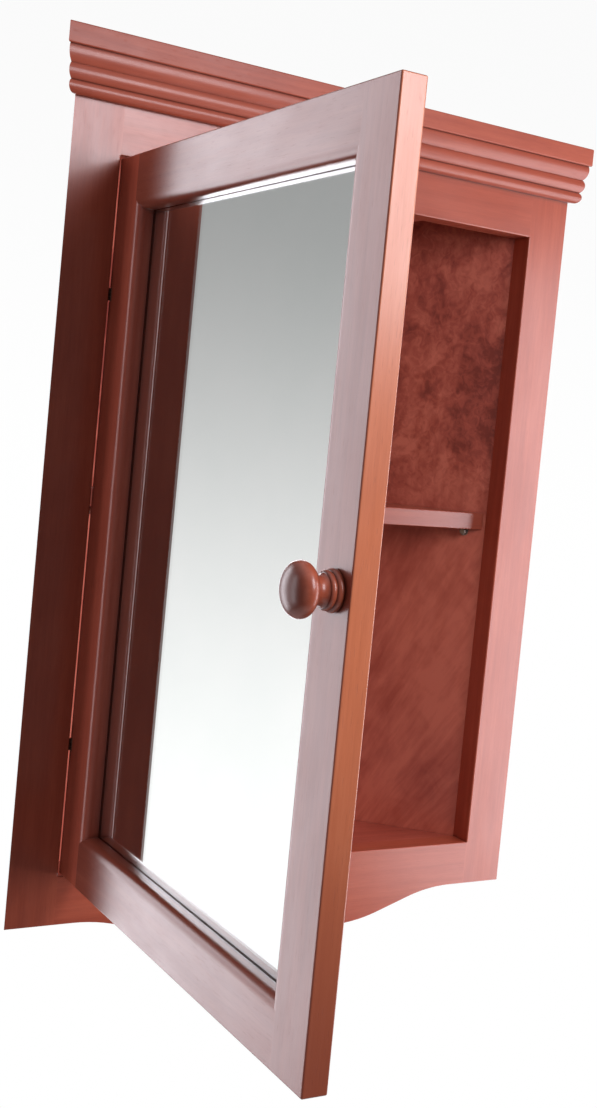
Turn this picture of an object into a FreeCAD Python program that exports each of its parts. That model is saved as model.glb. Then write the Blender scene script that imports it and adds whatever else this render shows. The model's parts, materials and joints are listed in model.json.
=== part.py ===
"""Corner medicine cabinet with an inset mirrored door, built piece by piece.

Millimetres, +Z up.  The origin is the vertical line where the two room walls meet,
at the height of the face frame's feet.  The cabinet fills the corner: its two back
panels lie on the planes |x| + y = 0, and its face frame looks along -Y.
Every door piece is drawn with the door shut and then swung open about the hinge pins,
because the door's rest position is open.
"""
import FreeCAD, Part
import math
import os

V = FreeCAD.Vector
UP = V(0, 0, 1)

# ---------------------------------------------------------------- driving dimensions
FRAME_WIDTH = 430.0        # face frame, outer edge to outer edge
FRAME_THICK = 19.0
STILE_WIDTH = 36.0
OPENING_BOTTOM = 34.5      # top of the bottom rail above the stile feet
OPENING_TOP = 535.0        # underside of the top rail
CASE_TOP = 599.0           # top of the face frame and back panels
TOP_BOARD_THICK = 14.0
TOP_BOARD_OVERHANG = 12.0
PANEL_THICK = 12.0
BOARD_THICK = 14.0         # bottom board and shelf
SHELF_TOP = 307.5
SHELF_CLEARANCE = 1.0
APRON_DROP = 23.2          # how far the bottom rail dips below the stile feet
EASE = 1.0                 # softened arris on everything a hand meets

DOOR_GAP = 1.6             # clearance all round the inset door
DOOR_THICK = 15.0
DOOR_STILE_FLAT = 33.5     # flat width before the rounded inner edge
DOOR_RAIL_FLAT = 30.5
STICKING = 6.0             # radius of the rounded inner edge
GLASS_DEPTH = 11.0         # face of the glass behind the face of the door
GLASS_THICK = 3.0
GLASS_LAP = 8.0            # rebate behind the sight edge
GLASS_PLAY = 0.8
BACKING_LAP = 5.0          # the backing's ledge beyond the glass rebate
BACKING_THICK = 2.5

OPEN_DEG = 91.5            # the door's rest position, open from shut
PIN_INSET = 1.6            # pin axis inside the door's edge and behind its face
PIN_R = 1.0
PIN_PLAY = 0.06
KNUCKLE_R = 2.4
KNUCKLE_HALF = 4.2         # half the height of the three knuckles together
KNUCKLE_MID_HALF = 1.4
KNUCKLE_SPLIT = 0.15       # gap between neighbouring knuckles
PIN_HEAD = 0.5
PIN_HEAD_R = 1.5
LEAF_THICK = 1.2
LEAF_HALF = 14.0
LEAF_CORNER_R = 2.0
HINGE_SCREW_OFFSET = 9.0   # leaf screws above and below the hinge's middle
LEAF_PROUD = 0.7           # frame leaf in front of the stile's edge
DOOR_LEAF_PROUD = 0.5
HINGE_FROM_END = 92.3      # hinge centre from the door's top and bottom

KNOB_FROM_EDGE = 15.3      # knob axis from the door's free edge
KNOB_BALL_R = 14.4
KNOB_BALL_HALF = 8.2       # half thickness of the flattened ball
KNOB_BALL_OUT = 19.6       # ball centre in front of the door
WALL_HOLE_R = 2.5
WALL_HOLE_HEIGHTS = (80.0, 500.0)
WALL_HOLE_FROM_CORNER = 140.0

# ---------------------------------------------------------------- derived dimensions
HALF = FRAME_WIDTH / 2
FACE_Y = -HALF                                   # front of the face frame
FRAME_BACK_Y = FACE_Y + FRAME_THICK
OPENING_HALF = HALF - STILE_WIDTH
INNER = PANEL_THICK * math.sqrt(2)               # inner panel planes: |x| + y = -INNER
DOOR_WIDTH = 2 * OPENING_HALF - 2 * DOOR_GAP
DOOR_BOTTOM = OPENING_BOTTOM + DOOR_GAP
DOOR_TOP = OPENING_TOP - DOOR_GAP
DOOR_HEIGHT = DOOR_TOP - DOOR_BOTTOM
DOOR_LEFT = -OPENING_HALF + DOOR_GAP             # hinge edge of the shut door
DOOR_RIGHT = DOOR_LEFT + DOOR_WIDTH
DOOR_BACK_Y = FACE_Y + DOOR_THICK
GLASS_BACK = GLASS_DEPTH + GLASS_THICK
PIN_X = DOOR_LEFT + PIN_INSET
PIN_Y = FACE_Y + PIN_INSET
HINGE_HEIGHTS = {"lower": DOOR_BOTTOM + HINGE_FROM_END, "upper": DOOR_TOP - HINGE_FROM_END}
KNOB_X = DOOR_RIGHT - KNOB_FROM_EDGE
KNOB_Z = (DOOR_BOTTOM + DOOR_TOP) / 2


# ---------------------------------------------------------------- small helpers
def box(x0, x1, y0, y1, z0, z1):
    return Part.makeBox(x1 - x0, y1 - y0, z1 - z0, V(x0, y0, z0))


def prism(points, z0, z1):
    """Upright prism on an XY outline."""
    outline = Part.makePolygon([V(x, y, z0) for x, y in points + points[:1]])
    return Part.Face(outline).extrude(V(0, 0, z1 - z0))


def upright_plate(points, y0, y1):
    """Plate on an XZ outline, running from y0 back to y1."""
    outline = Part.makePolygon([V(x, y0, z) for x, z in points + points[:1]])
    return Part.Face(outline).extrude(V(0, y1 - y0, 0))


def rod(radius, length, start, along):
    return Part.makeCylinder(radius, length, start, along)


def turned(points, start, along):
    """Solid of revolution from (distance along the axis, radius) edges already made in XZ."""
    profile = Part.Face(Part.Wire(points))
    solid = profile.revolve(V(0, 0, 0), UP, 360)
    return aim(solid, start, along)


def aim(shape, start, along):
    """Move a shape drawn up the Z axis so that Z points along the given direction."""
    placed = shape.copy()
    placed.Placement = FreeCAD.Placement(start, FreeCAD.Rotation(UP, along))
    return placed


def line(a, b):
    return Part.LineSegment(V(*a), V(*b)).toShape()


def arc(a, mid, b):
    return Part.Arc(V(*a), V(*mid), V(*b)).toShape()


def ease(shape, wanted, radius=EASE):
    """Round the straight edges whose middle point the test picks."""
    edges = [e for e in shape.Edges if wanted(e.BoundBox.Center, e.BoundBox)]
    return shape.makeFillet(radius, edges)


def near(a, b, tolerance=0.01):
    return abs(a - b) < tolerance


def mirrored(shape):
    return shape.mirror(V(0, 0, 0), V(1, 0, 0))


def swing(shape):
    """Turn a piece of the shut door to the door's open rest position."""
    opened = shape.copy()
    opened.rotate(V(PIN_X, PIN_Y, 0), UP, -OPEN_DEG)
    return opened


def group(shapes):
    return shapes[0] if len(shapes) == 1 else Part.makeCompound(shapes)


def carve(shape, tools):
    return shape.cut(group(tools)) if tools else shape


# ---------------------------------------------------------------- fasteners
def cross_recess(arm, half, depth):
    """Cutter for a cross recess down to depth, for a screw head drawn about the Z axis."""
    above = -3.0
    slot = box(-arm, arm, -half, half, above, depth)
    return slot.fuse(box(-half, half, -arm, arm, above, depth))


def countersunk(start, into, length, shank=1.6, head=3.2):
    """Flat-head wood screw: its head is flush at start and its tip points into the wood.
    Returns the screw and the plain hole that it fills."""
    cone = head - shank
    tip = 2 * shank
    edges = [
        line((0, 0, 0), (head, 0, 0)),
        line((head, 0, 0), (shank, 0, cone)),
        line((shank, 0, cone), (shank, 0, length - tip)),
        line((shank, 0, length - tip), (0, 0, length)),
        line((0, 0, length), (0, 0, 0)),
    ]
    body = turned(edges, start, into)
    return body.cut(aim(cross_recess(0.55 * head, 0.11 * head, 0.3 * head), start, into)), body


def pan_head(start, into, length, shank=1.4, head=2.8, rise=1.1):
    """Pan-head screw whose head stands on the surface at start."""
    tip = 2 * shank
    edges = [
        arc((0, 0, -rise), (0.72 * head, 0, -0.72 * rise), (head, 0, 0)),
        line((head, 0, 0), (shank, 0, 0)),
        line((shank, 0, 0), (shank, 0, length - tip)),
        line((shank, 0, length - tip), (0, 0, length)),
        line((0, 0, length), (0, 0, -rise)),
    ]
    body = turned(edges, start, into)
    return body.cut(aim(cross_recess(0.6 * head, 0.11 * head, -0.3 * rise), start, into)), body


def nail(start, into, length=30.0, shank=0.8, head=1.6, head_thick=0.7):
    return rod(head, head_thick, start, into).fuse(rod(shank, length, start, into)).removeSplitter()


def dowel(middle, along, radius=3.0, length=34.0, chamfer=0.8):
    peg = rod(radius, length, middle - along * (length / 2), along)
    rims = [e for e in peg.Edges if near(e.Length, 2 * math.pi * radius)]
    return peg.makeChamfer(chamfer, rims)


# ---------------------------------------------------------------- face frame
def face_frame_stile():
    """Right stile.  Its outer edge is cut to the wall plane, and its inner arris is softened
    along the opening only, so that the joints with the rails stay flush."""
    outline = [(OPENING_HALF, FACE_Y), (HALF, FACE_Y)]
    outline += [(-FRAME_BACK_Y, FRAME_BACK_Y), (OPENING_HALF, FRAME_BACK_Y)]
    pieces = []
    for low, high in ((0, OPENING_BOTTOM), (OPENING_BOTTOM, OPENING_TOP), (OPENING_TOP, CASE_TOP)):
        piece = prism(outline, low, high)
        if low == OPENING_BOTTOM:
            piece = ease(piece, lambda c, b: near(c.x, OPENING_HALF) and near(c.y, FACE_Y))
        pieces.append(piece)
    return pieces[0].fuse(pieces[1:]).removeSplitter()


def face_frame():
    rail_middle_y = FACE_Y + FRAME_THICK / 2
    heights = (9.0, 25.5, OPENING_TOP + 13.0, CASE_TOP - 13.0)
    pegs = []
    for x in (-OPENING_HALF, OPENING_HALF):
        pegs += [dowel(V(x, rail_middle_y, z), V(1, 0, 0)) for z in heights]

    right = face_frame_stile()
    left = mirrored(right)

    top = box(-OPENING_HALF, OPENING_HALF, FACE_Y, FRAME_BACK_Y, OPENING_TOP, CASE_TOP)
    top = ease(top, lambda c, b: near(c.z, OPENING_TOP) and near(c.y, FACE_Y))
    return {
        "face_frame_left_stile": left.cut(group(pegs)),
        "face_frame_right_stile": right.cut(group(pegs)),
        "face_frame_top_rail": top.cut(group(pegs)),
        "face_frame_bottom_rail": apron().cut(group(pegs)),
        "face_frame_dowels": group(pegs),
    }


def apron():
    """Bottom rail whose lower edge dips in the middle through an S-curve at each end."""
    start_x = -HALF + 50.0
    radius = 130.0
    slope = math.radians(18.6)
    run = radius * math.sin(slope)
    fall = radius * (1 - math.cos(slope))
    straight_fall = APRON_DROP - 2 * fall
    straight_run = straight_fall / math.tan(slope)
    half = slope / 2
    a = (start_x, 0)
    a_mid = (start_x + radius * math.sin(half), -radius * (1 - math.cos(half)))
    b = (start_x + run, -fall)
    c = (b[0] + straight_run, b[1] - straight_fall)
    d = (c[0] + run, -APRON_DROP)
    c_mid = (d[0] - radius * math.sin(half), -APRON_DROP + radius * (1 - math.cos(half)))

    def at(point, sign):
        return (sign * point[0], FACE_Y, point[1])

    edges = [
        line((-OPENING_HALF, FACE_Y, 0), at(a, 1)),
        arc(at(a, 1), at(a_mid, 1), at(b, 1)),
        line(at(b, 1), at(c, 1)),
        arc(at(c, 1), at(c_mid, 1), at(d, 1)),
        line(at(d, 1), at(d, -1)),
        arc(at(d, -1), at(c_mid, -1), at(c, -1)),
        line(at(c, -1), at(b, -1)),
        arc(at(b, -1), at(a_mid, -1), at(a, -1)),
        line(at(a, -1), (OPENING_HALF, FACE_Y, 0)),
        line((OPENING_HALF, FACE_Y, 0), (OPENING_HALF, FACE_Y, OPENING_BOTTOM)),
        line((OPENING_HALF, FACE_Y, OPENING_BOTTOM), (-OPENING_HALF, FACE_Y, OPENING_BOTTOM)),
        line((-OPENING_HALF, FACE_Y, OPENING_BOTTOM), (-OPENING_HALF, FACE_Y, 0)),
    ]
    rail = Part.Face(Part.Wire(edges)).extrude(V(0, FRAME_THICK, 0))
    return ease(rail, lambda c, b: near(c.z, OPENING_BOTTOM) and near(c.y, FACE_Y))


# ---------------------------------------------------------------- case
def triangle_board(front_y, inset, z0, z1):
    """Right-angled board in the corner, its two long edges set in from the wall planes."""
    rear = -inset
    return prism([(front_y + inset, front_y), (-front_y - inset, front_y), (0, rear)], z0, z1)


def into_panel(side):
    """Unit vector pointing from the room wall square into a back panel: side is -1 left, 1 right."""
    return V(-side, -1, 0).normalize()


def on_panel(side, from_corner, z):
    """Point on a panel's outer face, a distance along it from the room corner."""
    step = from_corner / math.sqrt(2)
    return V(side * step, -step, z)


def wall_holes(side):
    inward = into_panel(side)
    mouths = [on_panel(side, WALL_HOLE_FROM_CORNER, z) for z in WALL_HOLE_HEIGHTS]
    return [rod(WALL_HOLE_R, 3 * PANEL_THICK, mouth - inward * PANEL_THICK, inward) for mouth in mouths]


def back_panels():
    """The left panel runs to the room corner and laps the right panel's end."""
    front = -FRAME_BACK_Y
    lap = INNER / 2
    left = prism([(-front, -front), (INNER - front, -front), (lap, -lap), (0, 0)], 0, CASE_TOP)
    right = prism([(front, -front), (front - INNER, -front), (0, -INNER), (lap, -lap)], 0, CASE_TOP)
    return carve(left, wall_holes(-1)), carve(right, wall_holes(1))


def panel_nails():
    """Nails through the left panel into the right one's end, and through both into the bottom board."""
    nails = []
    for z in (60.0, 180.0, 330.0, 450.0, 570.0):
        nails.append(nail(on_panel(-1, PANEL_THICK / 2, z), into_panel(-1)))
    for side in (-1, 1):
        for from_corner in (70.0, 150.0, 230.0):
            spot = on_panel(side, from_corner, OPENING_BOTTOM - BOARD_THICK / 2)
            nails.append(nail(spot, into_panel(side)))
    return nails


def shelf_pins():
    """Collared pins in the back panels; the shelf lies on them."""
    pins = []
    radius = 2.5
    collar_radius = 3.6
    collar = 0.8
    buried = 9.0
    proud = 9.0
    z = SHELF_TOP - BOARD_THICK - radius
    for side in (-1, 1):
        inward = into_panel(side)
        for from_corner in (95.0, 248.0):
            face = on_panel(side, from_corner, z) + inward * PANEL_THICK
            pin = rod(radius, buried + proud, face - inward * buried, inward)
            pin = pin.fuse(rod(collar_radius, collar, face, inward)).removeSplitter()
            rims = [e for e in pin.Edges if near(e.Length, 2 * math.pi * radius)]
            ends = [e for e in rims if e.CenterOfMass.distanceToPoint(face) > proud - 0.1]
            pins.append(pin.makeChamfer(0.5, ends))
    return pins


def top_screws():
    """Screws down through the top board into the top rail and the back panels."""
    spots = [(-150.0, FACE_Y + 9.5), (0.0, FACE_Y + 9.5), (150.0, FACE_Y + 9.5)]
    middle = INNER / 2
    spots += [(-95.0, -95.0 - middle), (95.0, -95.0 - middle)]
    z = CASE_TOP + TOP_BOARD_THICK
    return [countersunk(V(x, y, z), V(0, 0, -1), 38.0, 1.9, 3.8) for x, y in spots]


def crown():
    """Three half-round beads that step outwards as they rise, cut to the wall planes at the ends."""
    beads = [                      # foot height, reach at the foot, fullest reach, reach at the head
        (568.5, 3.6, 7.8, 6.0),
        (577.0, 6.0, 9.0, 7.4),
        (587.5, 7.4, 10.4, 10.0),
    ]
    heads = [beads[1][0], beads[2][0], CASE_TOP]
    edges = [line((0, FACE_Y, beads[0][0]), (0, FACE_Y - beads[0][1], beads[0][0]))]
    for (foot, low, full, high), head in zip(beads, heads):
        edges.append(arc((0, FACE_Y - low, foot), (0, FACE_Y - full, foot + 0.55 * (head - foot)),
                         (0, FACE_Y - high, head)))
    edges.append(line((0, FACE_Y - beads[-1][3], CASE_TOP), (0, FACE_Y, CASE_TOP)))
    edges.append(line((0, FACE_Y, CASE_TOP), (0, FACE_Y, beads[0][0])))
    length = FRAME_WIDTH + 4 * TOP_BOARD_OVERHANG
    bar = Part.Face(Part.Wire(edges)).extrude(V(length, 0, 0))
    bar.translate(V(-length / 2, 0, 0))
    room = prism([(2 * FACE_Y, 2 * FACE_Y), (-2 * FACE_Y, 2 * FACE_Y), (0, 0)], 0, 2 * CASE_TOP)
    return bar.common(room)


def case():
    left, right = back_panels()
    nails = panel_nails()
    pins = shelf_pins()
    screws = top_screws()
    holes = [hole for _, hole in screws]
    bottom = triangle_board(FRAME_BACK_Y, INNER, OPENING_BOTTOM - BOARD_THICK, OPENING_BOTTOM)
    front_y = FACE_Y - TOP_BOARD_OVERHANG
    top = triangle_board(front_y, 0, CASE_TOP, CASE_TOP + TOP_BOARD_THICK)
    top = ease(top, lambda c, b: near(c.y, front_y) and b.ZLength < 0.01)
    shelf_front = FRAME_BACK_Y + SHELF_CLEARANCE
    shelf_inset = INNER + SHELF_CLEARANCE * math.sqrt(2)
    shelf = triangle_board(shelf_front, shelf_inset, SHELF_TOP - BOARD_THICK, SHELF_TOP)
    shelf = ease(shelf, lambda c, b: near(c.y, shelf_front) and b.ZLength < 0.01)
    return {
        "back_panel_left": carve(left, nails + pins + holes),
        "back_panel_right": carve(right, nails + pins + holes),
        "bottom_board": carve(bottom, nails),
        "top_board": carve(top, holes),
        "crown_moulding": crown(),
        "shelf": shelf,
        "shelf_pins": group(pins),
        "panel_nails": group(nails),
        "top_board_screws": group([screw for screw, _ in screws]),
    }, holes


# ---------------------------------------------------------------- magnetic catch
CATCH_X = 54.0
CATCH_HALF = 14.0
CATCH_LUG = 9.0
CATCH_HEIGHT = 14.0
CATCH_DEPTH = 15.0
CATCH_GAP = 0.3            # air between the pole plates and the strike
STRIKE_THICK = 1.2
STRIKE_PROUD = 0.3
STRIKE_HALF_WIDTH = 12.0
STRIKE_HALF_HEIGHT = 7.0
CATCH_FACE_Y = DOOR_BACK_Y + STRIKE_PROUD + CATCH_GAP


def catch():
    block_half, block_depth, block_rise = 32.0, 34.0, 20.0
    block = box(CATCH_X - block_half, CATCH_X + block_half, FRAME_BACK_Y, FRAME_BACK_Y + block_depth,
                OPENING_TOP, OPENING_TOP + block_rise)
    front = CATCH_FACE_Y + 0.6
    low = OPENING_TOP - CATCH_HEIGHT
    back = front + CATCH_DEPTH
    body = box(CATCH_X - CATCH_HALF, CATCH_X + CATCH_HALF, front, back, low, OPENING_TOP)
    body = ease(body, lambda c, b: near(c.z, low) or near(c.y, front) and b.ZLength > 1)
    reach = CATCH_HALF + CATCH_LUG
    lug = box(CATCH_X - reach, CATCH_X + reach, back - 9, back, OPENING_TOP - 3, OPENING_TOP)
    lug = ease(lug, lambda c, b: b.ZLength > 1, 3)
    housing = body.fuse(lug).removeSplitter()
    magnet_back = back - 2
    magnet = box(CATCH_X - 11, CATCH_X + 11, CATCH_FACE_Y + 1, magnet_back, low + 4, OPENING_TOP - 4)
    plates = []
    for z in (low + 2.8, OPENING_TOP - 4):
        plates.append(box(CATCH_X - 11, CATCH_X + 11, CATCH_FACE_Y, magnet_back, z, z + 1.2))
    screws = []
    for side in (-1, 1):
        spot = V(CATCH_X + side * (CATCH_HALF + 4.5), back - 4.5, OPENING_TOP - 3)
        screws.append(pan_head(spot, UP, 14.0))
    holes = [hole for _, hole in screws]
    return {
        "catch_block": carve(block, holes),
        "catch_housing": carve(housing, holes + plates + [magnet]),
        "catch_magnet": magnet,
        "catch_pole_plates": group(plates),
        "catch_screws": group([screw for screw, _ in screws]),
    }


# ---------------------------------------------------------------- hinges
def hinge(z):
    """One small butt hinge about z: frame leaf, door leaf, pin and the notch in the door's arris.
    Drawn with the door shut."""
    def slab(x0, x1, y0, y1, half):
        return box(x0, x1, y0, y1, z - half, z + half)

    edge = -OPENING_HALF
    barrel_base = V(PIN_X, PIN_Y, z - KNUCKLE_HALF)
    barrel = rod(KNUCKLE_R, 2 * KNUCKLE_HALF, barrel_base, UP)
    reach = 2 * KNUCKLE_R
    around = (PIN_X - reach, PIN_X + reach, PIN_Y - reach, PIN_Y + reach)

    leaf_x = edge + LEAF_PROUD - LEAF_THICK
    leaf_front = FACE_Y + 4.6
    leaf_back = FACE_Y + 15.0
    plate = slab(leaf_x, leaf_x + LEAF_THICK, leaf_front, leaf_back, LEAF_HALF)
    plate = ease(plate, lambda c, b: near(c.y, leaf_back) and b.XLength > 1, LEAF_CORNER_R)
    neck = slab(leaf_x, leaf_x + LEAF_THICK, PIN_Y - LEAF_THICK / 2, leaf_front, KNUCKLE_HALF)
    web = slab(edge, PIN_X, PIN_Y - LEAF_THICK / 2, PIN_Y + LEAF_THICK / 2, KNUCKLE_HALF)
    ends = barrel.fuse(web).cut(slab(*around, KNUCKLE_MID_HALF + KNUCKLE_SPLIT))
    pin_hole = rod(PIN_R, 4 * KNUCKLE_HALF, barrel_base - UP * KNUCKLE_HALF, UP)
    frame_leaf = plate.fuse([neck, ends]).cut(pin_hole)

    door_x = DOOR_LEFT - DOOR_LEAF_PROUD
    door_leaf_front = FACE_Y + 5.2
    door_leaf_back = FACE_Y + 13.6
    door_plate = slab(door_x, door_x + LEAF_THICK, door_leaf_front, door_leaf_back, LEAF_HALF)
    door_plate = ease(door_plate, lambda c, b: near(c.y, door_leaf_back) and b.XLength > 1, LEAF_CORNER_R)
    strap = slab(door_x, door_x + LEAF_THICK, PIN_Y, door_leaf_front, KNUCKLE_MID_HALF)
    centre = barrel.common(slab(*around, KNUCKLE_MID_HALF)).fuse(strap)
    running_hole = rod(PIN_R + PIN_PLAY, 4 * KNUCKLE_HALF, barrel_base - UP * KNUCKLE_HALF, UP)
    door_leaf = door_plate.fuse(centre).cut(running_hole)

    pin = rod(PIN_R, 2 * KNUCKLE_HALF, barrel_base, UP)
    for level in (z + KNUCKLE_HALF, z - KNUCKLE_HALF - PIN_HEAD):
        pin = pin.fuse(rod(PIN_HEAD_R, PIN_HEAD, V(PIN_X, PIN_Y, level), UP))

    screws_y = FACE_Y + 9.6
    screw_size = (13.0, 1.2, 2.3)
    frame_screws = []
    door_screws = []
    for offset in (-HINGE_SCREW_OFFSET, HINGE_SCREW_OFFSET):
        frame_spot = V(edge + LEAF_PROUD, screws_y, z + offset)
        frame_screws.append(countersunk(frame_spot, V(-1, 0, 0), *screw_size))
        door_spot = V(door_x, screws_y, z + offset)
        door_screws.append(countersunk(door_spot, V(1, 0, 0), *screw_size))
    notch_half = KNUCKLE_HALF + PIN_HEAD + 0.2
    notch = rod(KNUCKLE_R + 0.5, 2 * notch_half, V(PIN_X, PIN_Y, z - notch_half), UP)
    strap_slot = slab(door_x, door_x + LEAF_THICK + 0.3, PIN_Y, door_leaf_front + 0.2, notch_half)
    return {
        "frame_leaf": frame_leaf.removeSplitter(),
        "door_leaf": door_leaf.removeSplitter(),
        "pin": pin.removeSplitter(),
        "frame_screws": frame_screws,
        "door_screws": door_screws,
        "notch": notch.fuse(strap_slot),
    }


# ---------------------------------------------------------------- door
def door_bar(flat, length):
    """Door frame bar along +Z: outer edge at x = 0, rounded inner edge, face at y = 0."""
    wide = flat + STICKING
    bend = STICKING * (1 - math.sqrt(0.5))
    edges = [
        line((0, 0, 0), (flat, 0, 0)),
        arc((flat, 0, 0), (wide - bend, bend, 0), (wide, STICKING, 0)),
        line((wide, STICKING, 0), (wide, DOOR_THICK, 0)),
        line((wide, DOOR_THICK, 0), (0, DOOR_THICK, 0)),
        line((0, DOOR_THICK, 0), (0, 0, 0)),
    ]
    bar = Part.Face(Part.Wire(edges)).extrude(V(0, 0, length))
    return ease(bar, lambda c, b: near(c.x, 0) and b.ZLength > 100)


def door_frame(cutters):
    """Two stiles and two rails.  The stiles run full height, and the rounded edges meet in a mitre."""
    stile = door_bar(DOOR_STILE_FLAT, DOOR_HEIGHT)
    rail = door_bar(DOOR_RAIL_FLAT, DOOR_WIDTH)
    s, r = DOOR_STILE_FLAT, DOOR_RAIL_FLAT
    w, h = DOOR_WIDTH, DOOR_HEIGHT
    k = STICKING
    stile_outline = [(0, 0), (s, 0), (s, r), (s + k, r + k)]
    stile_outline += [(s + k, h - r - k), (s, h - r), (s, h), (0, h)]
    rail_outline = [(s, 0), (w - s, 0), (w - s, r), (w - s - k, r + k), (s + k, r + k), (s, r)]
    stile_area = upright_plate(stile_outline, -1, DOOR_THICK + 1)
    rail_area = upright_plate(rail_outline, -1, DOOR_THICK + 1)
    rail = rail.mirror(V(0, 0, 0), V(1, 0, -1))

    def end_arris(c, b):
        return near(c.y, 0) and (near(c.z, 0) or near(c.z, h)) and b.XLength > 5

    hinge_stile = ease(stile.common(stile_area), end_arris)
    bottom = rail.common(rail_area)
    across = V(w / 2, 0, 0)
    upward = V(0, 0, h / 2)
    pieces = {
        "door_hinge_stile": hinge_stile,
        "door_knob_stile": hinge_stile.mirror(across, V(1, 0, 0)),
        "door_bottom_rail": bottom,
        "door_top_rail": bottom.mirror(upward, UP),
    }
    for name, piece in pieces.items():
        piece.translate(V(DOOR_LEFT, FACE_Y, DOOR_BOTTOM))
        pieces[name] = carve(piece, cutters)
    return pieces


def door_pocket(lap, play, y0, y1):
    """Box behind the sight edge, reaching lap past it on every side less the play."""
    side = DOOR_STILE_FLAT + STICKING - lap + play
    end = DOOR_RAIL_FLAT + STICKING - lap + play
    low, high = DOOR_BOTTOM + end, DOOR_TOP - end
    return box(DOOR_LEFT + side, DOOR_RIGHT - side, FACE_Y + y0, FACE_Y + y1, low, high)


def knob():
    """Turned knob: two beads at the foot, a waisted neck and a flattened ball."""
    a, b, out = KNOB_BALL_R, KNOB_BALL_HALF, KNOB_BALL_OUT
    join_r = 8.0
    join_z = out - b * math.sqrt(1 - (join_r / a) ** 2)
    low = math.asin((join_z - out) / b)

    def ball(angle):
        return V(a * math.cos(angle), 0, out + b * math.sin(angle))

    steps = 16
    curve = Part.BSplineCurve()
    curve.interpolate([ball(low + (math.pi / 2 - low) * i / steps) for i in range(steps + 1)])
    edges = [
        line((0, 0, 0), (10.2, 0, 0)),
        arc((10.2, 0, 0), (11.0, 0, 2.0), (9.6, 0, 4.0)),
        arc((9.6, 0, 4.0), (10.0, 0, 5.6), (8.6, 0, 7.2)),
        arc((8.6, 0, 7.2), (7.4, 0, 9.6), (join_r, 0, join_z)),
        curve.toShape(),
        line((0, 0, out + b), (0, 0, 0)),
    ]
    return turned(edges, V(KNOB_X, FACE_Y, KNOB_Z), V(0, -1, 0))


def knob_screw():
    """Machine screw from the back of the door into the knob."""
    screw, _ = pan_head(V(KNOB_X, DOOR_BACK_Y, KNOB_Z), V(0, -1, 0), 30.0, 2.0, 4.2, 2.2)
    hole = rod(2.0, 60.0, V(KNOB_X, DOOR_BACK_Y, KNOB_Z), V(0, -1, 0))
    return screw, hole


def backing_screws():
    """Small pan-head screws round the edge of the backing board."""
    side = DOOR_STILE_FLAT + STICKING - GLASS_LAP - BACKING_LAP / 2
    end = DOOR_RAIL_FLAT + STICKING - GLASS_LAP - BACKING_LAP / 2
    y = FACE_Y + GLASS_BACK + BACKING_THICK
    left, right = DOOR_LEFT + side, DOOR_RIGHT - side
    low, high = DOOR_BOTTOM + end, DOOR_TOP - end
    spots = [(x, z) for x in (left, right) for z in (low + 30, low + 155, high - 155, high - 30)]
    spots += [(x, z) for x in (left + 75, right - 75) for z in (low, high)]
    return [pan_head(V(x, y, z), V(0, -1, 0), 9.5, 0.9, 1.9, 0.8) for x, z in spots]


def door(hinges):
    glass_hole = door_pocket(GLASS_LAP, 0, GLASS_DEPTH, DOOR_THICK + 1)
    ledge_hole = door_pocket(GLASS_LAP + BACKING_LAP, 0, GLASS_BACK, DOOR_THICK + 1)
    glass = door_pocket(GLASS_LAP, GLASS_PLAY, GLASS_DEPTH, GLASS_BACK)
    backing = door_pocket(GLASS_LAP + BACKING_LAP, 0.5, GLASS_BACK, GLASS_BACK + BACKING_THICK)
    small_screws = backing_screws()
    small_holes = [hole for _, hole in small_screws]

    strike_y = DOOR_BACK_Y + STRIKE_PROUD
    strike_z = DOOR_TOP - 8.4
    strike_left, strike_right = CATCH_X - STRIKE_HALF_WIDTH, CATCH_X + STRIKE_HALF_WIDTH
    strike_low, strike_high = strike_z - STRIKE_HALF_HEIGHT, strike_z + STRIKE_HALF_HEIGHT
    strike = box(strike_left, strike_right, strike_y - STRIKE_THICK, strike_y, strike_low, strike_high)
    strike = ease(strike, lambda c, b: b.YLength > 1, 2)
    strike_screw, strike_hole = countersunk(V(CATCH_X, strike_y, strike_z), V(0, -1, 0), 11.0, 1.4, 2.8)

    inset = DOOR_STILE_FLAT
    peg_y = FACE_Y + 5.6
    pegs = []
    for x in (DOOR_LEFT + inset, DOOR_RIGHT - inset):
        for z in (9.0, 24.0):
            pegs.append(dowel(V(x, peg_y, DOOR_BOTTOM + z), V(1, 0, 0)))
            pegs.append(dowel(V(x, peg_y, DOOR_TOP - z), V(1, 0, 0)))

    screw, screw_hole = knob_screw()
    cutters = [glass_hole, ledge_hole, strike, strike_hole, screw_hole] + small_holes + pegs
    door_screws = []
    for parts in hinges.values():
        door_screws += parts["door_screws"]
        cutters += [parts["notch"], parts["door_leaf"]] + [hole for _, hole in parts["door_screws"]]

    pieces = door_frame(cutters)
    pieces.update({
        "door_dowels": group(pegs),
        "mirror_glass": glass,
        "mirror_backing": carve(backing, small_holes),
        "backing_screws": group([s for s, _ in small_screws]),
        "knob": knob().cut(screw),
        "knob_screw": screw,
        "catch_strike_plate": carve(strike, [strike_hole]),
        "catch_strike_screw": strike_screw,
        "hinge_door_screws": group([s for s, _ in door_screws]),
    })
    screw_holes = [hole for _, hole in door_screws]
    for level, parts in hinges.items():
        pieces["hinge_%s_door_leaf" % level] = carve(parts["door_leaf"], screw_holes)
    return {name: swing(piece) for name, piece in pieces.items()}


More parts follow.
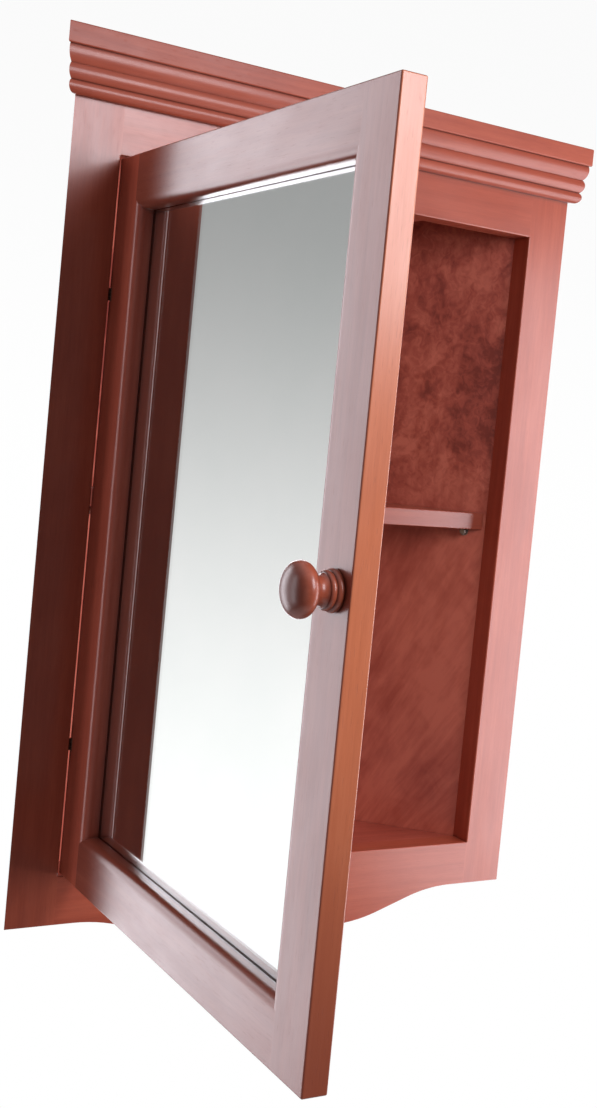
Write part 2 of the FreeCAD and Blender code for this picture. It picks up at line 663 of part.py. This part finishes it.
# ---------------------------------------------------------------- assembly
def assemble():
    hinges = {level: hinge(z) for level, z in HINGE_HEIGHTS.items()}
    frame_screws = [pair for parts in hinges.values() for pair in parts["frame_screws"]]
    frame_holes = [hole for _, hole in frame_screws]

    pieces = face_frame()
    case_pieces, top_holes = case()
    pieces.update(case_pieces)
    pieces.update(catch())
    leaves = [parts["frame_leaf"] for parts in hinges.values()]
    stile = "face_frame_left_stile"
    pieces[stile] = carve(pieces[stile], leaves + frame_holes)
    pieces["face_frame_top_rail"] = carve(pieces["face_frame_top_rail"], top_holes)
    for level, parts in hinges.items():
        pieces["hinge_%s_frame_leaf" % level] = carve(parts["frame_leaf"], frame_holes)
        pieces["hinge_%s_pin" % level] = parts["pin"]
    pieces["hinge_frame_screws"] = group([screw for screw, _ in frame_screws])
    pieces.update(door(hinges))
    return pieces


def main():
    os.makedirs("parts", exist_ok=True)
    for name, piece in assemble().items():
        solids = piece.Solids
        good = piece.isValid() and len(solids) > 0
        state = "ok" if good else "BAD"
        print("%-26s solids %2d  volume %10.1f  %s" % (name, len(solids), piece.Volume, state))
        shape = solids[0] if len(solids) == 1 else Part.makeCompound(solids)
        shape.exportStep(os.path.join("parts", name + ".step"))


main()
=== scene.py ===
"""Looks of the corner medicine cabinet: stained cherry under satin lacquer, a silvered mirror,
bronze hinges and the plain hardware behind the door.

Metres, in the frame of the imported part: origin on the vertical line where the room walls meet,
+Z up, the cabinet's face towards -Y.  The door's rest position is open.
"""

import json
import math

import bmesh
import bpy
from mathutils import Matrix, Vector


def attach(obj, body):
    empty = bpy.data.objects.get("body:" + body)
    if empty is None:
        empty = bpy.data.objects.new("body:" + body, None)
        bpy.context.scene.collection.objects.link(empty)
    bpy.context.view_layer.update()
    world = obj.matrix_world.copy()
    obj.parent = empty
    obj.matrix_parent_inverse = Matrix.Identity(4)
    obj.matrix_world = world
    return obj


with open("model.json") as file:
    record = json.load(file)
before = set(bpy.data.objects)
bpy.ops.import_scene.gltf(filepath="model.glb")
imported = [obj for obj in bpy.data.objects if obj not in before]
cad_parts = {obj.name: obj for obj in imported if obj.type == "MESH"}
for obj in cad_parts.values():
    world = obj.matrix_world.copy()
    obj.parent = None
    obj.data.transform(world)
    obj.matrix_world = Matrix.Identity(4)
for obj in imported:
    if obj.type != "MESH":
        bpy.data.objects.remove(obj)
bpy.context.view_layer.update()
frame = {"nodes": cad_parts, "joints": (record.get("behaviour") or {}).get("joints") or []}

NODES = frame["nodes"]
HINGE = frame["joints"][0]
SHUT_RAD = math.radians(HINGE["range_deg"][1])          # from the open rest position to shut

UP = Vector((0, 0, 1))
ACROSS = Vector((1, 0, 0))                              # along the face frame
TO_WALL = Vector((0, 1, 0))                             # from the face frame towards the room corner
DOOR_ACROSS = Matrix.Rotation(-SHUT_RAD, 3, "Z") @ ACROSS   # hinge edge to knob edge, door open
DOOR_OUT = Matrix.Rotation(-SHUT_RAD, 3, "Z") @ Vector((0, -1, 0))   # out of the mirror's face


# ---------------------------------------------------------------- node helpers
class Graph:
    """A material or world node tree that is built one call at a time."""

    def __init__(self, tree):
        self.tree = tree
        tree.nodes.clear()

    def node(self, kind, inputs=None, **settings):
        made = self.tree.nodes.new(kind)
        for name, value in settings.items():
            setattr(made, name, value)
        for name, value in (inputs or {}).items():
            self.feed(made.inputs[name], value)
        return made

    def feed(self, socket, value):
        if isinstance(value, bpy.types.NodeSocket):
            self.tree.links.new(value, socket)
        else:
            socket.default_value = value

    def math(self, operation, a, b=0.0, c=0.5, clamp=False):
        made = self.node("ShaderNodeMath", {0: a, 1: b, 2: c}, operation=operation, use_clamp=clamp)
        return made.outputs[0]

    def clamp(self, value):
        return self.math("ADD", value, 0.0, clamp=True)

    def sway(self, value, figure, share):
        """value moved up and down by a figure that runs from 0 to 1, by its share."""
        return self.math("ADD", value, self.math("MULTIPLY", self.math("SUBTRACT", figure, 0.5), share))

    def between(self, value, low, high, to_low=0.0, to_high=1.0):
        """Smooth step of value from low to high."""
        inputs = {"Value": value, "From Min": low, "From Max": high, "To Min": to_low, "To Max": to_high}
        return self.node("ShaderNodeMapRange", inputs, interpolation_type="SMOOTHSTEP").outputs["Result"]

    def noise(self, vector, scale, detail=2.0, roughness=0.5, distortion=0.0):
        inputs = {"Vector": vector, "Scale": scale, "Detail": detail, "Roughness": roughness,
                  "Distortion": distortion}
        return self.node("ShaderNodeTexNoise", inputs).outputs["Fac"]

    def mix(self, factor, a, b, blend="MIX"):
        made = self.node("ShaderNodeMix", data_type="RGBA", blend_type=blend)
        for socket, value in ((made.inputs[0], factor), (made.inputs[6], a), (made.inputs[7], b)):
            self.feed(socket, value)
        return made.outputs[2]

    def ramp(self, factor, stops):
        made = self.node("ShaderNodeValToRGB", {"Fac": factor})
        points = made.color_ramp.elements
        while len(points) < len(stops):
            points.new(0.5)
        for point, (position, colour) in zip(points, stops):
            point.position = position
            point.color = rgba(colour)
        return made.outputs["Color"]

    def dot(self, vector, direction):
        inputs = {0: vector, 1: direction}
        return self.node("ShaderNodeVectorMath", inputs, operation="DOT_PRODUCT").outputs["Value"]


def rgba(colour):
    return (*colour, 1.0)


def new_material(name):
    made = bpy.data.materials.new(name)
    made.use_nodes = True
    return made, Graph(made.node_tree)


def surface(graph, inputs):
    """Principled shader wired to the output; plain numbers go on its own sockets."""
    shader = graph.node("ShaderNodeBsdfPrincipled", inputs)
    out = graph.node("ShaderNodeOutputMaterial")
    graph.tree.links.new(shader.outputs["BSDF"], out.inputs["Surface"])


def grain_space(graph, along, seed, squash):
    """Object coordinates turned so that Z runs along the grain and is drawn out by 1 / squash."""
    turn = along.rotation_difference(UP).to_euler("XYZ")
    place = graph.node("ShaderNodeTexCoord").outputs["Object"]
    turned = graph.node("ShaderNodeMapping", {"Vector": place, "Rotation": turn}, vector_type="POINT")
    shift = (0.317 * seed, 0.553 * seed, 0.891 * seed)
    stretched = graph.node("ShaderNodeMapping", {"Vector": turned.outputs[0], "Location": shift,
                                                 "Scale": (1.0, 1.0, squash)})
    return stretched.outputs[0]


def painted_shade_mask(graph, reach):
    """Painted shade: 1 down in grooves and inner corners, 0 in the open."""
    openness = graph.node("ShaderNodeAmbientOcclusion", {"Distance": reach}, samples=6).outputs["AO"]
    return graph.between(openness, 0.88, 0.42)


def edge_mask(graph, radius):
    """1 on arrises and corners, 0 on flats."""
    rounded = graph.node("ShaderNodeBevel", {"Radius": radius}, samples=4).outputs["Normal"]
    plain = graph.node("ShaderNodeNewGeometry").outputs["Normal"]
    facing = graph.node("ShaderNodeVectorMath", {0: rounded, 1: plain}, operation="DOT_PRODUCT")
    return graph.between(facing.outputs["Value"], 0.995, 0.86, 0.0, 1.0)


# ---------------------------------------------------------------- wood
STRAIGHT_GRAIN = 0.045             # squash along the grain: the smaller, the longer the streaks
RING_SHARE = 0.10                  # how far each figure of the wood moves its tone
STREAK_SHARE = 0.42
FIBRE_SHARE = 0.24
PORE_SHARE = 0.12
SATIN = (0.31, 0.39)               # roughness of the lacquer, glossy and matt patches
MATT_ADDS = 0.12                   # roughness that fully matt lacquer has more
COAT = 0.5
PALE_EDGE_SHADE_HEIGHTS = (0.26, 0.03)          # heights between which painted shade darkens the pale outer edges towards the foot
FAN_BELOW = (0.34, 0.27)           # heights between which the burl figure gives way to the fan
FAN_CENTRE = 0.30                  # how far below the feet the fan's streaks meet
SHADE_REACH = 0.004               # how near another surface must be for painted shade to darken the stain in a groove
ARRIS = 0.0012                     # width of the wear along arrises

# Stains: dark, mid and light tone; the hinge stile's tones also carry painted bounce light.
CHERRY = ((0.280, 0.046, 0.023), (0.390, 0.076, 0.038), (0.500, 0.116, 0.060))
EDGE_CHERRY = ((0.545, 0.143, 0.058), (0.680, 0.196, 0.084), (0.780, 0.260, 0.124))
DOOR_CHERRY = ((0.210, 0.034, 0.018), (0.295, 0.058, 0.031), (0.385, 0.090, 0.050))
# Painted bounce light: the hinge stile is brighter and redder than the other door parts, standing in for
# red light bounced off the frame's left stile.
BOUNCE_LIT_CHERRY = ((0.385, 0.064, 0.034), (0.525, 0.102, 0.056), (0.635, 0.150, 0.084))
KNOB_CHERRY = ((0.260, 0.048, 0.024), (0.420, 0.088, 0.042), (0.560, 0.138, 0.068))
INSIDE_CHERRY = ((0.200, 0.030, 0.020), (0.370, 0.070, 0.044), (0.540, 0.135, 0.085))


def wood(name, along, seed, tones=CHERRY, edge_axis=None, cloud=0.35, groove_shade=0.5, dull=0.0, soak=0.55,
         dents=()):
    """Stained cherry under satin lacquer, with its grain along a direction.
    edge_axis is the normal of the faces that took less stain, such as the door's outer edges; painted
    shade darkens them towards the foot.
    groove_shade is how dark the painted shade lies in grooves and inner corners; dull makes the lacquer
    more matt, up to 1;
    soak is how much darker the stain took on end grain."""
    material, g = new_material(name)
    long_space = grain_space(g, along, seed, STRAIGHT_GRAIN)
    cloud_space = grain_space(g, along, seed + 7, 0.45)

    warp = g.noise(long_space, 26.0, 2.0, 0.55)
    ring_phase = g.math("ADD", g.math("MULTIPLY", warp, 46.0),
                        g.math("MULTIPLY", g.noise(long_space, 60.0, 1.0), 9.0))
    rings = g.math("MULTIPLY_ADD", g.math("SINE", ring_phase), 0.5, 0.5)
    streaks = g.noise(long_space, 420.0, 3.0, 0.62)
    fibres = g.noise(long_space, 1900.0, 2.0, 0.6)
    clouds = g.noise(cloud_space, 17.0, 3.0, 0.55, 0.8)

    tone = g.math("MULTIPLY_ADD", g.math("SUBTRACT", clouds, 0.5), 1.6 * cloud, 0.5)
    for figure, share in ((rings, RING_SHARE), (streaks, STREAK_SHARE), (fibres, FIBRE_SHARE)):
        tone = g.sway(tone, figure, share)
    tone = g.clamp(tone)
    steps = (0.12, 0.5, 0.88)
    stain = g.ramp(tone, list(zip(steps, tones)))

    if edge_axis is not None:
        normal = g.node("ShaderNodeTexCoord").outputs["Normal"]
        sideways = g.dot(normal, edge_axis)
        pale = g.ramp(tone, list(zip(steps, EDGE_CHERRY)))
        # Painted shade: the pale outer edges darken towards the foot.
        pale = g.mix(g.between(above_feet(g), *PALE_EDGE_SHADE_HEIGHTS, 0.0, 0.75), pale, rgba(tones[0]))
        stain = g.mix(g.between(sideways, 0.6, 0.95), stain, pale)

    pores = g.between(g.noise(grain_space(g, along, seed + 3, 0.09), 1300.0, 1.0, 0.5), 0.36, 0.30)
    stain = g.mix(g.math("MULTIPLY", pores, PORE_SHARE), stain, rgba([0.5 * c for c in tones[0]]))
    worn = g.math("MULTIPLY", edge_mask(g, ARRIS), g.between(clouds, 0.35, 0.75, 0.04, 0.24))
    stain = g.mix(worn, stain, rgba([1.35 * c for c in tones[2]]))

    end_grain = g.math("ABSOLUTE", g.dot(g.node("ShaderNodeTexCoord").outputs["Normal"], along))
    soaked = g.between(end_grain, 1.3 - soak, 0.98, 0.0, soak)
    stain = g.mix(soaked, stain, rgba([0.6 * c for c in tones[0]]))

    # Painted shade: the stain darkens in grooves and inner corners near another surface.
    painted_groove_shade = g.math("MULTIPLY", painted_shade_mask(g, SHADE_REACH), groove_shade)
    stain = g.mix(painted_groove_shade, stain, rgba([0.15 * c for c in tones[0]]))

    gloss = g.noise(grain_space(g, along, seed + 5, 0.3), 55.0, 3.0, 0.6)
    satin = [plain + MATT_ADDS * dull for plain in SATIN]
    roughness = g.math("ADD", g.between(gloss, 0.3, 0.75, *satin), g.math("MULTIPLY", pores, 0.08))
    relief = g.math("ADD", g.math("MULTIPLY", streaks, 0.6), g.math("MULTIPLY", pores, -0.5))
    for centre, radius, depth in dents:
        relief = g.math("SUBTRACT", relief, g.math("MULTIPLY", dent(g, centre, radius), depth))
    orange_peel = g.noise(grain_space(g, along, seed + 9, 1.0), 230.0, 1.0)
    relief = g.math("ADD", relief, g.math("MULTIPLY", orange_peel, 0.35))
    bump = g.node("ShaderNodeBump", {"Height": relief, "Strength": 0.5, "Distance": 0.00006}).outputs[0]
    surface(g, {"Base Color": stain, "Roughness": roughness, "Normal": bump, "IOR": 1.5,
                "Coat Weight": COAT * (1 - dull), "Coat Roughness": 0.2, "Coat IOR": 1.5})
    return material


def above_feet(graph):
    """Height above the face frame's feet."""
    place = graph.node("ShaderNodeTexCoord").outputs["Object"]
    return graph.node("ShaderNodeSeparateXYZ", {0: place}).outputs["Z"]


def dent(graph, centre, radius):
    """1 at a small knock in the surface, 0 outside it."""
    place = graph.node("ShaderNodeTexCoord").outputs["Object"]
    away = graph.node("ShaderNodeVectorMath", {0: place, 1: centre}, operation="DISTANCE")
    return graph.between(away.outputs["Value"], radius, 0.3 * radius)


def fan(graph):
    """Streaks that spread out from a point well below the middle of the case."""
    place = graph.node("ShaderNodeTexCoord").outputs["Object"]
    east, _, up = graph.node("ShaderNodeSeparateXYZ", {0: place}).outputs
    rise = graph.math("ADD", up, FAN_CENTRE)
    angle = graph.math("ARCTAN2", rise, graph.math("ADD", graph.math("ABSOLUTE", east), 0.02))
    reach = graph.math("SQRT", graph.math("ADD", graph.math("MULTIPLY", rise, rise),
                                          graph.math("MULTIPLY", east, east)))
    along = graph.math("MULTIPLY", reach, 0.25)
    polar = graph.node("ShaderNodeCombineXYZ", {0: angle, 1: along}).outputs[0]
    broad = graph.noise(polar, 14.0, 2.0, 0.5, 0.5)
    fine = graph.noise(polar, 120.0, 3.0, 0.6, 0.2)
    broad = graph.between(broad, 0.3, 0.7, 0.36, 0.60)
    return graph.math("ADD", broad, graph.between(fine, 0.3, 0.7, 0.0, 0.18))


def figured_panel(name, seed):
    """Plywood panel: cloudy, burl-like figure inside the case under the same stain, plain outside."""
    material, g = new_material(name)
    soft = grain_space(g, UP, seed, 0.85)
    fine = grain_space(g, UP, seed + 4, 0.16)
    swirl = g.between(g.noise(soft, 10.0, 3.0, 0.55, 0.9), 0.30, 0.70)
    curls = g.between(g.noise(soft, 42.0, 3.0, 0.55, 1.2), 0.28, 0.72)
    flecks = g.noise(fine, 330.0, 3.0, 0.6, 0.4)
    knots = g.between(g.noise(soft, 30.0, 2.0, 0.5, 0.4), 0.34, 0.24)
    tone = g.math("ADD", g.math("MULTIPLY", swirl, 0.50), g.math("MULTIPLY", curls, 0.42))
    tone = g.sway(tone, flecks, 0.20)
    tone = g.math("SUBTRACT", tone, g.math("MULTIPLY", knots, 0.20))
    wrinkles = g.between(g.noise(soft, 130.0, 3.0, 0.6, 1.6), 0.35, 0.65, -0.11, 0.11)
    fanned = g.math("ADD", g.math("MULTIPLY", tone, 0.35), fan(g))
    figure = g.mix(g.between(above_feet(g), *FAN_BELOW), g.math("ADD", tone, wrinkles), fanned)
    normal = g.node("ShaderNodeTexCoord").outputs["Normal"]
    outside = g.between(g.dot(normal, TO_WALL), 0.3, 0.6)
    plain = g.between(flecks, 0.3, 0.7, 0.30, 0.55)
    tone = g.clamp(g.mix(outside, figure, plain))
    stain = g.ramp(tone, list(zip((0.16, 0.5, 0.86), INSIDE_CHERRY)))
    roughness = g.between(curls, 0.3, 0.7, 0.36, 0.46)
    relief = g.math("ADD", g.math("MULTIPLY", flecks, 0.5), g.math("MULTIPLY", curls, 0.5))
    bump = g.node("ShaderNodeBump", {"Height": relief, "Strength": 0.4, "Distance": 0.00008}).outputs[0]
    surface(g, {"Base Color": stain, "Roughness": roughness, "Normal": bump, "Coat Weight": 0.2,
                "Coat Roughness": 0.3})
    return material


def raw_wood(name, along, seed, dark, light):
    """Unfinished wood of dowels."""
    material, g = new_material(name)
    space = grain_space(g, along, seed, 0.06)
    tone = g.math("ADD", g.math("MULTIPLY", g.noise(space, 300.0, 3.0), 0.6),
                  g.math("MULTIPLY", g.noise(space, 1500.0, 2.0), 0.4))
    colour = g.ramp(tone, [(0.3, dark), (0.7, light)])
    bump = g.node("ShaderNodeBump", {"Height": tone, "Strength": 0.5, "Distance": 0.0001}).outputs[0]
    surface(g, {"Base Color": colour, "Roughness": g.between(tone, 0.3, 0.7, 0.75, 0.62), "Normal": bump})
    return material


def hardboard(name):
    """Brown fibreboard: matted fibres and a pressed sheen."""
    material, g = new_material(name)
    place = grain_space(g, UP, 2, 1.0)
    mat = g.noise(place, 900.0, 4.0, 0.7, 0.6)
    blotch = g.noise(place, 25.0, 3.0, 0.5)
    tone = g.math("ADD", g.math("MULTIPLY", mat, 0.7), g.math("MULTIPLY", blotch, 0.3))
    colour = g.ramp(tone, [(0.3, (0.130, 0.070, 0.034)), (0.5, (0.215, 0.125, 0.064)),
                           (0.72, (0.330, 0.210, 0.120))])
    bump = g.node("ShaderNodeBump", {"Height": mat, "Strength": 0.5, "Distance": 0.0001}).outputs[0]
    surface(g, {"Base Color": colour, "Roughness": g.between(mat, 0.3, 0.7, 0.62, 0.48), "Normal": bump})
    return material


# ---------------------------------------------------------------- metal, glass, plastic
def metal(name, colour, roughness, brushed, tarnish):
    """Plated or bronzed metal with fine brushing along Z, tarnish in patches and rubbed arrises."""
    material, g = new_material(name)
    strokes = g.noise(grain_space(g, UP, 1, 0.05), 2600.0, 2.0, 0.6)
    patches = g.noise(grain_space(g, UP, 3, 1.0), 160.0, 3.0, 0.6)
    dull = rgba([c * tarnish for c in colour])
    tint = g.mix(g.between(patches, 0.35, 0.7), dull, rgba(colour))
    rubbed = g.math("MULTIPLY", edge_mask(g, 0.0005), 0.6)
    tint = g.mix(rubbed, tint, rgba([min(1.0, 1.5 * c) for c in colour]))
    spread = g.math("ADD", g.between(patches, 0.3, 0.7, roughness + 0.08, roughness - 0.04),
                    g.math("MULTIPLY", g.math("SUBTRACT", strokes, 0.5), brushed))
    bump = g.node("ShaderNodeBump", {"Height": strokes, "Strength": 0.3, "Distance": 0.00002}).outputs[0]
    surface(g, {"Base Color": tint, "Metallic": 1.0, "Roughness": spread, "Normal": bump})
    return material


def moulded(name, colour, roughness, speckle):
    """Moulded plastic or pressed ferrite: fine grain and slight mottling."""
    material, g = new_material(name)
    place = grain_space(g, UP, 4, 1.0)
    grain = g.noise(place, 1800.0, 2.0, 0.6)
    mottle = g.noise(place, 90.0, 2.0, 0.5)
    shade = g.math("ADD", g.math("MULTIPLY", grain, speckle), g.math("MULTIPLY", mottle, 0.3))
    low, high = (rgba([share * c for c in colour]) for share in (0.75, 1.2))
    tint = g.mix(g.between(shade, 0.1, 0.7), low, high)
    bump = g.node("ShaderNodeBump", {"Height": grain, "Strength": 0.4, "Distance": 0.00004}).outputs[0]
    surface(g, {"Base Color": tint, "Roughness": g.between(mottle, 0.3, 0.7, roughness, roughness + 0.1),
                "Normal": bump})
    return material


def float_glass(name):
    """Clear sheet over the silvering, with a faint green body."""
    material, g = new_material(name)
    haze = g.noise(grain_space(g, UP, 6, 1.0), 7.0, 3.0, 0.6)
    tint = g.mix(g.between(haze, 0.35, 0.75), rgba((0.985, 0.995, 0.99)), rgba((0.965, 0.985, 0.975)))
    surface(g, {"Base Color": tint, "Roughness": 0.0, "IOR": 1.52, "Transmission Weight": 1.0})
    return material


def silver(name):
    """Silvering: bright, with the slightest cloud in it."""
    material, g = new_material(name)
    haze = g.noise(grain_space(g, UP, 8, 1.0), 11.0, 3.0, 0.6)
    tint = g.mix(g.between(haze, 0.3, 0.7), rgba((0.93, 0.94, 0.935)), rgba((0.95, 0.955, 0.95)))
    surface(g, {"Base Color": tint, "Metallic": 1.0, "Roughness": 0.0})
    return material


# ---------------------------------------------------------------- pieces
def silvering(glass_node, skin=0.0001):
    """The mirror's silver coat: a skin just inside the back face of the glass."""
    corners = [v.co for v in NODES[glass_node].data.vertices]
    depth = [c.dot(DOOR_OUT) for c in corners]
    width = [c.dot(DOOR_ACROSS) for c in corners]
    height = [c.z for c in corners]
    back = min(depth)
    inset = 2 * skin
    mesh = bmesh.new()
    made = []
    for out in (back + skin, back + 2 * skin):
        for w, z in ((min(width) + inset, min(height) + inset), (max(width) - inset, min(height) + inset),
                     (max(width) - inset, max(height) - inset), (min(width) + inset, max(height) - inset)):
            made.append(mesh.verts.new(DOOR_OUT * out + DOOR_ACROSS * w + UP * z))
    for ring in ((0, 1, 2, 3), (7, 6, 5, 4)):
        mesh.faces.new([made[i] for i in ring])
    for i in range(4):
        j = (i + 1) % 4
        mesh.faces.new([made[i], made[i + 4], made[j + 4], made[j]])
    bmesh.ops.recalc_face_normals(mesh, faces=mesh.faces)
    data = bpy.data.meshes.new("mirror_silvering")
    mesh.to_mesh(data)
    mesh.free()
    piece = bpy.data.objects.new("mirror_silvering", data)
    bpy.context.scene.collection.objects.link(piece)
    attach(piece, "door")
    return piece


def paint(node, material):
    """Give a CAD node's object one material."""
    slots = NODES[node].material_slots
    for slot in slots:
        slot.material = material


# Small knocks in the left stile: centre, radius, depth.
LEFT_DENTS = (
    (Vector((-0.194, -0.215, 0.474)), 0.0016, 5.0),
    (Vector((-0.1955, -0.215, 0.4695)), 0.001, 3.0),
)


def paint_all():
    paint("face_frame_left_stile", wood("lacquered_left_stile", UP, 1, dents=LEFT_DENTS))
    paint("face_frame_right_stile", wood("lacquered_right_stile", UP, 2))
    paint("face_frame_top_rail", wood("lacquered_top_rail", ACROSS, 3, cloud=0.5))
    paint("face_frame_bottom_rail", wood("lacquered_bottom_rail", ACROSS, 4))
    paint("top_board", wood("lacquered_top_board", ACROSS, 5, dull=0.9))
    # The crown's grooves get strong painted shade.
    paint("crown_moulding", wood("lacquered_crown", ACROSS, 6, cloud=0.2, groove_shade=0.9, dull=0.5))
    # The hinge stile's tones carry painted bounce light from the frame's left stile.
    paint("door_hinge_stile", wood("lacquered_hinge_stile", UP, 11, BOUNCE_LIT_CHERRY))
    paint("door_knob_stile", wood("lacquered_knob_stile", UP, 12, DOOR_CHERRY, DOOR_ACROSS))
    paint("door_top_rail", wood("lacquered_door_top_rail", DOOR_ACROSS, 13, DOOR_CHERRY, UP))
    paint("door_bottom_rail", wood("lacquered_door_bottom_rail", DOOR_ACROSS, 14, DOOR_CHERRY, -UP))
    paint("knob", wood("lacquered_knob", DOOR_OUT, 15, KNOB_CHERRY, cloud=0.2, soak=0.9))
    paint("shelf", wood("lacquered_shelf", ACROSS, 16, DOOR_CHERRY))
    paint("bottom_board", wood("lacquered_bottom_board", ACROSS, 17, INSIDE_CHERRY))
    paint("catch_block", wood("lacquered_catch_block", ACROSS, 18, INSIDE_CHERRY))
    for seed, side in enumerate(("left", "right")):
        paint("back_panel_" + side, figured_panel("figured_panel_" + side, 21 + seed))
    beech = ((0.48, 0.32, 0.19), (0.68, 0.50, 0.32))
    paint("face_frame_dowels", raw_wood("beech_across", ACROSS, 31, *beech))
    paint("door_dowels", raw_wood("beech_door", DOOR_ACROSS, 32, *beech))
    paint("mirror_backing", hardboard("hardboard"))
    paint("mirror_glass", float_glass("float_glass"))

    bronze = metal("antique_bronze", (0.190, 0.105, 0.075), 0.36, 0.12, 0.6)
    zinc = metal("zinc_plate", (0.62, 0.62, 0.60), 0.34, 0.16, 0.8)
    nickel = metal("nickel_plate", (0.34, 0.31, 0.28), 0.3, 0.08, 0.7)
    for node in sorted(NODES):
        if node.startswith("hinge_"):
            paint(node, bronze)
        elif "screw" in node or "nail" in node or "plate" in node:
            paint(node, zinc)
    paint("shelf_pins", nickel)
    paint("catch_housing", moulded("brown_plastic", (0.23, 0.11, 0.07), 0.45, 0.5))
    paint("catch_magnet", moulded("ferrite", (0.06, 0.06, 0.062), 0.7, 0.7))
    silvering("mirror_glass").data.materials.append(silver("silvering"))


# ---------------------------------------------------------------- studio
FLOOR_BELOW = 1.10
FLOOR_RADIUS = 1.45


def floor():
    """Round pale floor, well below the hung cabinet."""
    mesh = bmesh.new()
    bmesh.ops.create_circle(mesh, cap_ends=True, segments=96, radius=FLOOR_RADIUS)
    data = bpy.data.meshes.new("floor")
    mesh.to_mesh(data)
    mesh.free()
    piece = bpy.data.objects.new("floor", data)
    bpy.context.scene.collection.objects.link(piece)
    piece.location = (0, -0.2, -FLOOR_BELOW)
    material, g = new_material("pale_floor")
    tone = g.noise(g.node("ShaderNodeTexCoord").outputs["Object"], 6.0, 3.0)
    colour = g.mix(g.between(tone, 0.3, 0.7), rgba((0.84, 0.84, 0.83)), rgba((0.87, 0.87, 0.86)))
    surface(g, {"Base Color": colour, "Roughness": 0.7})
    data.materials.append(material)


COOL = (1.0, 0.98, 1.04)                   # studio lamps, a touch cold


def softbox(name, place, target, width, height, radiance):
    """Rectangular soft light that faces the target."""
    light = bpy.data.lights.new(name, "AREA")
    light.color = COOL
    light.shape = "RECTANGLE"
    light.size = width
    light.size_y = height
    light.energy = radiance * math.pi * width * height
    lamp = bpy.data.objects.new(name, light)
    bpy.context.scene.collection.objects.link(lamp)
    lamp.location = place
    lamp.rotation_euler = (Vector(target) - Vector(place)).to_track_quat("-Z", "Y").to_euler()
    return lamp


# Bright upright bands around the cabinet, as bearings in degrees from +Y towards +X:
# start, softness, end, softness, radiance.  Their top and foot are sines of the elevation.
BAND_TOP = (0.50, 0.30)
BAND_FOOT = (-0.60, -0.40)
OVERHEAD = (0.45, 0.85, 0.07, 0.60)        # from, to, radiance below and above
SEEN = (-0.10, 0.30, 1.0, 0.96)            # what the camera sees of the surroundings
MIRRORED = (-0.30, 0.20, 1.12, 0.36)       # what the camera sees of them in the mirror
BRIGHT_SIDES = (
    (-44, 22, -5, 12, 4.1),       # sheet at the rear left
    (-76, 10, -44, 18, 2.3),      # its dimmer wing, further round to the left
    (-10, 14, 70, 30, 2.2),       # pale wall behind the cabinet
    (-165, 30, -100, 30, 0.20),   # far side of the room, in front and to the left
)


def backdrop():
    """Pale surroundings: bright behind and overhead, dim elsewhere, white for the camera.
    What the mirror shows of them is kept inside the exposure: grey high up, white lower down."""
    world = bpy.data.worlds.new("studio")
    bpy.context.scene.world = world
    world.use_nodes = True
    g = Graph(world.node_tree)
    direction = g.node("ShaderNodeTexCoord").outputs["Generated"]
    east, north, height = g.node("ShaderNodeSeparateXYZ", {0: direction}).outputs
    path = g.node("ShaderNodeLightPath").outputs

    bearing = g.math("ARCTAN2", east, north)
    light = g.between(height, *OVERHEAD)
    for low, rise, high, fall, level in BRIGHT_SIDES:
        band = g.math("MULTIPLY", g.between(bearing, math.radians(low), math.radians(low + rise)),
                      g.between(bearing, math.radians(high), math.radians(high - fall)))
        for edge in (BAND_TOP, BAND_FOOT):
            band = g.math("MULTIPLY", band, g.between(height, *edge))
        light = g.math("ADD", light, g.math("MULTIPLY", band, level))
    seen = g.between(height, *SEEN)
    mirrored = g.between(height, *MIRRORED)
    # The mirror seen directly turns a ray an odd number of times; seen by the lacquer, even.
    direct = g.math("MULTIPLY", g.math("MODULO", path["Glossy Depth"], 2.0),
                    g.math("LESS_THAN", path["Diffuse Depth"], 0.5))
    in_mirror = g.math("MULTIPLY", path["Is Singular Ray"], direct)
    cool = g.mix(1.0, light, rgba(COOL), "MULTIPLY")
    strength = g.mix(in_mirror, cool, mirrored)
    strength = g.mix(path["Is Camera Ray"], strength, seen)
    shader = g.node("ShaderNodeBackground", {"Color": strength, "Strength": 1.0})
    out = g.node("ShaderNodeOutputWorld")
    g.tree.links.new(shader.outputs[0], out.inputs["Surface"])


# The camera stands to the left of the open door and leans over a little.
CAMERA_PLACE = Vector((-0.55525, -1.13570, 0.35973))
CAMERA_AZIMUTH = math.radians(31.737)      # from +Y towards +X
CAMERA_ELEVATION = math.radians(-3.234)
CAMERA_ROLL = math.radians(5.546)
FOCAL_SHARE = 1426.46 / 1108               # focal length over the frame's long side
SENSOR = 36.0
SHIFT = (-0.0274, -0.0342)


def camera():
    data = bpy.data.cameras.new("camera")
    data.sensor_fit = "AUTO"
    data.sensor_width = SENSOR
    data.lens = SENSOR * FOCAL_SHARE
    data.shift_x, data.shift_y = SHIFT
    data.clip_start = 0.05
    data.clip_end = 50.0
    piece = bpy.data.objects.new("camera", data)
    bpy.context.scene.collection.objects.link(piece)
    flat = math.cos(CAMERA_ELEVATION)
    forward = Vector((math.sin(CAMERA_AZIMUTH) * flat, math.cos(CAMERA_AZIMUTH) * flat,
                      math.sin(CAMERA_ELEVATION)))
    aim = forward.to_track_quat("-Z", "Y").to_matrix() @ Matrix.Rotation(CAMERA_ROLL, 3, "Z")
    piece.matrix_world = Matrix.Translation(CAMERA_PLACE) @ aim.to_4x4()
    bpy.context.scene.camera = piece


def studio():
    floor()
    backdrop()
    softbox("key", (0.21, -1.26, 0.76), (0.0, -0.3, 0.4), 0.46, 0.58, 8.6)
    softbox("side", (0.72, -0.66, 0.18), (0.1, -0.3, 0.25), 0.54, 0.88, 4.8)
    bpy.context.scene.view_settings.view_transform = "Standard"


camera()
paint_all()
studio()
